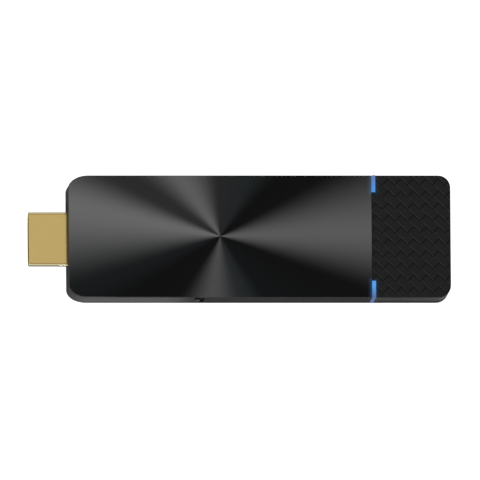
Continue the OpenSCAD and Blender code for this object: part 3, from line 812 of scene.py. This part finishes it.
def make_lower_casing():
    """Tray with a lip round its top, screw bosses, vents and every opening."""
    shell = casing_form("lower_casing", 0, LOWER_LO.z, SPLIT_Z)
    round_rim(shell, LOWER_LO.z, FOOT_R, 8)
    combine(shell, casing_form("lip", WALL - LIP_T, SPLIT_Z - MM, LOWER_HI.z), "UNION")
    combine(shell, casing_form("cavity", WALL, FLOOR_T, LOWER_HI.z + MM), "DIFFERENCE")
    for x in SCREW_XS:
        for y in (-SCREW_Y, SCREW_Y):
            combine(shell, post("boss", (x, y), BOSS_R, FLOOR_T / 2, BOARD_LO.z), "UNION")
    for x in POST_XS:
        for y in (-POST_Y, POST_Y):
            combine(shell, post("post", (x, y), POST_R, FLOOR_T / 2, BOARD_LO.z, 20), "UNION")
    cut_screw_seats(shell)
    notch = block("notch", (LOWER_LO.x - MM, PLUG_LO_Y - 0.1 * MM, PLUG_Z0 - 0.1 * MM),
                  (LOWER_LO.x + WALL + MM, -PLUG_LO_Y + 0.1 * MM, LOWER_HI.z + MM))
    combine(shell, notch, "DIFFERENCE")
    cut_socket_window(shell)
    cut_key_well(shell)
    cut_key_opening(shell)
    cut_guide_grooves(shell)
    rim = 0.2 * MM
    bed = block("bed", (LABEL_LO.x - rim, LABEL_LO.y - rim, -MM),
                (LABEL_HI.x + rim, LABEL_HI.y + rim, LABEL_HI.z))
    round_edges(bed, upright, 0.8 * MM, 5)
    combine(shell, bed, "DIFFERENCE")
    cut_vents(shell)
    soften(shell, 0.9 * EDGE_R)
    hand_over(shell, "casing", "casing_grey", "lower_shell")


def make_upper_casing():
    """Frame under the spun plate: roof, walls, a step for the lip, posts and bosses."""
    roof_z = UPPER_HI.z
    ceiling = roof_z - ROOF_T
    shell = casing_form("upper_casing", 0, SPLIT_Z, roof_z)
    combine(shell, casing_form("cavity", WALL, SPLIT_Z - MM, ceiling), "DIFFERENCE")
    combine(shell, casing_form("step", WALL - LIP_T - GAP, SPLIT_Z - MM, LOWER_HI.z + GAP),
            "DIFFERENCE")
    rest = block("rest", (UPPER_HI.x, -SIDE_Y - MM, 0), (LOWER_HI.x + MM, SIDE_Y + MM, 2 * roof_z))
    combine(shell, rest, "DIFFERENCE")
    skirt = block("skirt", (UPPER_LO.x + WALL - LIP_T, PLUG_LO_Y + GAP, SPLIT_Z),
                  (UPPER_LO.x + WALL, -PLUG_LO_Y - GAP, LOWER_HI.z + 0.2 * MM))
    combine(shell, skirt, "UNION")
    for y in (-SCREW_Y, SCREW_Y):
        combine(shell, post("boss", (SCREW_XS[0], y), BOSS_R, BOARD_HI.z, ceiling + GAP), "UNION")
        combine(shell, post("pilot", (SCREW_XS[0], y), SCREW_R, 0, SCREW_HI.z + MM),
                "DIFFERENCE")
    for x in POST_XS:
        for y in (-POST_Y, POST_Y):
            combine(shell, post("post", (x, y), POST_R, BOARD_HI.z, ceiling + GAP, 20), "UNION")
    cut_key_well(shell)
    soften(shell, 0.9 * EDGE_R)
    hand_over(shell, "casing", "casing_grey", "upper_shell")


def make_spun_plate():
    """Thin turned metal plate with a fine rolled edge."""
    plate = casing_form("spun_plate", PLATE_LO.x - LOWER_LO.x, PLATE_LO.z, PLATE_HI.z, 16)
    rest = block("rest", (PLATE_HI.x, -SIDE_Y - MM, 0), (LOWER_HI.x + MM, SIDE_Y + MM, 20 * MM))
    combine(plate, rest, "DIFFERENCE")
    soften(plate, 0.12 * MM, 3)
    hand_over(plate, "casing", "spun_black_metal", "top_plate")


def make_brick():
    """One tread of the woven relief: two cells long, dipping at its start, sloped on one side."""
    end = 2 * CELL - 0.01 * MM
    side = CELL / 2 - 0.01 * MM
    brick = block("brick", (TREAD_GAP, -side, RELIEF_Z0), (end, side, COVER_HI.z))
    slice_at(brick, (CELL, 0, 0), (1, 0, 0))
    slice_at(brick, (1.12 * CELL, 0, 0), (1, 0, 0))
    slice_at(brick, (0, SLOPE_W - side, 0), (0, 1, 0))
    pick(brick, "VERT", lambda v: near(v.co.y, -side) and near(v.co.z, COVER_HI.z))
    bpy.ops.transform.translate(value=(0, 0, -SLOPE_DROP))
    done()
    pick(brick, "VERT", lambda v: near(v.co.x, TREAD_GAP) and v.co.z > RELIEF_Z0 + GAP)
    bpy.ops.transform.translate(value=(0, 0, -DIP))
    done()
    pick(brick, "VERT", lambda v: near(v.co.y, side) and v.co.x < 1.05 * CELL)
    bpy.ops.transform.translate(value=(0, -TREAD_GAP, 0))
    done()
    return brick


def make_relief():
    """Rows of treads over the cover, each row a cell further on than the last."""
    along = Vector((WEAVE_X / 2, -WEAVE_Y / 2, 0)) / CELL
    across = Vector((WEAVE_X / 2, WEAVE_Y / 2, 0)) / CELL
    lean = Matrix((along, across, (0, 0, 1))).transposed().to_4x4()
    first = make_brick()
    first.data.transform(lean)
    treads = []
    low = Vector((COVER_HI.x - COVER_L, -SIDE_Y, 0)) - Vector((CELL, CELL, 0))
    high = Vector((COVER_HI.x, SIDE_Y, 0)) + Vector((CELL, CELL, 0))
    for i in range(-20, 21):
        for j in range(-20, 21):
            start = WEAVE_START + (i * along + j * across) * CELL
            inside = low.x < start.x + CELL and start.x < high.x and low.y < start.y < high.y
            if (i + j) % 2 or not inside:
                continue
            tread = first.copy()
            tread.data = first.data.copy()
            tread.data.transform(Matrix.Translation(start))
            bpy.context.scene.collection.objects.link(tread)
            treads.append(tread)
    bpy.data.objects.remove(first)
    relief = join(treads, "relief")
    clip = casing_form("clip", GAP, RELIEF_Z0, COVER_HI.z + GAP)
    round_rim(clip, COVER_HI.z + GAP, COVER_EDGE_R, 3)
    combine(clip, block("joint", (LOWER_LO.x - MM, -20 * MM, 0), (COVER_X, 20 * MM, 20 * MM)),
            "DIFFERENCE")
    combine(relief, clip, "INTERSECT")
    return relief


def make_textured_cover():
    """End cover: a shell with a woven relief over its top."""
    base_z = COVER_HI.z - RELIEF_DEPTH
    shell = casing_form("textured_cover", 0, SPLIT_Z, base_z)
    round_rim(shell, base_z, COVER_EDGE_R - RELIEF_DEPTH / 2, 3)
    roof = COVER_HI.z - COVER_T
    combine(shell, casing_form("cavity", WALL, SPLIT_Z - MM, roof), "DIFFERENCE")
    combine(shell, casing_form("step", WALL - LIP_T - GAP, SPLIT_Z - MM, LOWER_HI.z + GAP),
            "DIFFERENCE")
    rest = block("rest", (LOWER_LO.x - MM, -SIDE_Y - MM, 0), (COVER_X, SIDE_Y + MM, 20 * MM))
    combine(shell, rest, "DIFFERENCE")
    hook_top = UPPER_HI.z - ROOF_T - 0.1 * MM
    hook = block("hook", (COVER_LO.x, -HOOK_Y, hook_top - HOOK_T), (COVER_X + MM, HOOK_Y, hook_top))
    combine(shell, hook, "UNION")
    root = block("root", (COVER_X, -HOOK_Y, hook_top - HOOK_T), (COVER_X + MM, HOOK_Y, roof + GAP))
    combine(shell, root, "UNION")
    for y in (-SCREW_Y, SCREW_Y):
        combine(shell, post("boss", (SCREW_XS[1], y), BOSS_R, BOARD_HI.z, roof + GAP), "UNION")
        combine(shell, post("pilot", (SCREW_XS[1], y), SCREW_R, 0, SCREW_HI.z + MM),
                "DIFFERENCE")
    cut_socket_window(shell)
    cut_guide_grooves(shell)
    soften(shell, 0.9 * EDGE_R)
    relief = make_relief()
    cut_guide_grooves(relief)
    cover = join([shell, relief], "textured_cover")
    only(cover)
    bpy.ops.object.shade_smooth_by_angle(angle=math.radians(20))
    hand_over(cover, "casing", "cover_black", "rear_cover")


def make_light_guide(name, node, side):
    """Clear moulded strip: over the top, down the side, and a foot over its lamp."""
    x0, x1 = GUIDE_LO.x, GUIDE_HI.x
    out = GUIDE_HI.y
    guide = block(name, (x0, GUIDE_LO.y, COVER_HI.z - COVER_T), (x1, out, GUIDE_HI.z))
    combine(guide, block("leg", (x0, SIDE_Y - LEG_T, GUIDE_LO.z), (x1, out, GUIDE_HI.z)),
            "UNION")
    foot = block("foot", (x0, GUIDE_LO.y, LAMP_FOOT_Z),
                 (x1, GUIDE_LO.y + LAMP_FOOT_W, COVER_HI.z - 0.5 * MM))
    combine(guide, foot, "UNION")
    soften(guide, 0.08 * MM, 3)
    if side < 0:
        only(guide)
        bpy.ops.transform.mirror(orient_type="GLOBAL", constraint_axis=(False, True, False),
                                 center_override=(0, 0, 0))
        settle(guide, name)
        tidy_mesh(guide)
    hand_over(guide, "casing", "blue_light", node)


# ---------- display plug and push key ------------------------

def make_plug_shell():
    """Folded and plated sheet: flat top, rounded folds, sloping lower sides, open mouth."""
    top, bottom = PLUG_Z1, PLUG_Z0
    shell = block("plug_sheet", (PLUG_LO.x, PLUG_LO_Y, bottom), (PLUG_HI.x, -PLUG_LO_Y, top))
    slice_at(shell, (0, 0, top - PLUG_SIDE), (0, 0, 1))
    pick(shell, "VERT", lambda v: near(v.co.z, bottom))
    bpy.ops.transform.resize(value=(1, 1 - PLUG_SLOPE / -PLUG_LO_Y, 1),
                             center_override=(0, 0, bottom))
    done()
    ends = (PLUG_LO.x, PLUG_HI.x)
    round_edges(shell, lambda edge: abs(edge.verts[0].co.x - edge.verts[1].co.x) > MM
                and abs(edge.verts[0].co.y) > MM, PLUG_ROUND, 8)
    pick(shell, "FACE", lambda face: any(all(near(v.co.x, x) for v in face.verts) for x in ends))
    bpy.ops.mesh.delete(type="FACE")
    done()
    sheet = shell.modifiers.new("sheet", "SOLIDIFY")
    sheet.thickness = PLUG_T
    sheet.offset = -1
    sheet.use_even_offset = True
    only(shell)
    bpy.ops.object.modifier_apply(modifier=sheet.name)
    for side in (-1, 1):
        middle = side * WINDOW_Y
        window = block("window", (WINDOW_X0, middle - WINDOW_W / 2, bottom - MM),
                       (WINDOW_X1, middle + WINDOW_W / 2, bottom + MM))
        combine(shell, window, "DIFFERENCE")
    rim = block("rim", (LOWER_LO.x + WALL + 0.1 * MM, PLUG_LO_Y - 0.5 * MM, bottom - 0.5 * MM),
                (LOWER_LO.x + WALL + 0.5 * MM, -PLUG_LO_Y + 0.5 * MM, top + 0.5 * MM))
    hole = block("hole", (LOWER_LO.x, PLUG_LO_Y + 0.1 * MM, bottom + 0.1 * MM),
                 (0, -PLUG_LO_Y - 0.1 * MM, top - 0.1 * MM))
    combine(rim, hole, "DIFFERENCE")
    soften(shell, 0.07 * MM, 3)
    hand_over(join([shell, rim], "plug_sheet"), "casing", "gold_plate", "plug_shell")


def make_push_key():
    """Upright key: a cap with rounded edges, on a wider flange."""
    key = block("key_cap", (KEY_FACE_X0, KEY_LO.y, KEY_FACE_Z0),
                (KEY_FACE_X1, KEY_HI.y - 0.3 * MM, KEY_FACE_Z1))
    round_edges(key, lambda edge: abs(edge.verts[0].co.y - edge.verts[1].co.y) > 0.5 * MM,
                0.3 * MM, 8)
    flange = block("flange", (KEY_LO.x, KEY_HI.y - 0.5 * MM, KEY_LO.z), KEY_HI)
    combine(key, flange, "UNION")
    soften(key, 0.06 * MM, 2)
    hand_over(key, "key", "key_grey", "push_key")


make_camera()
make_light()
make_floor()
dress_frame()
make_lower_casing()
make_upper_casing()
make_spun_plate()
make_textured_cover()
make_light_guide("light_guide_near_side", "light_guide_near", -1)
make_light_guide("light_guide_far_side", "light_guide_far", 1)
make_plug_shell()
make_push_key()
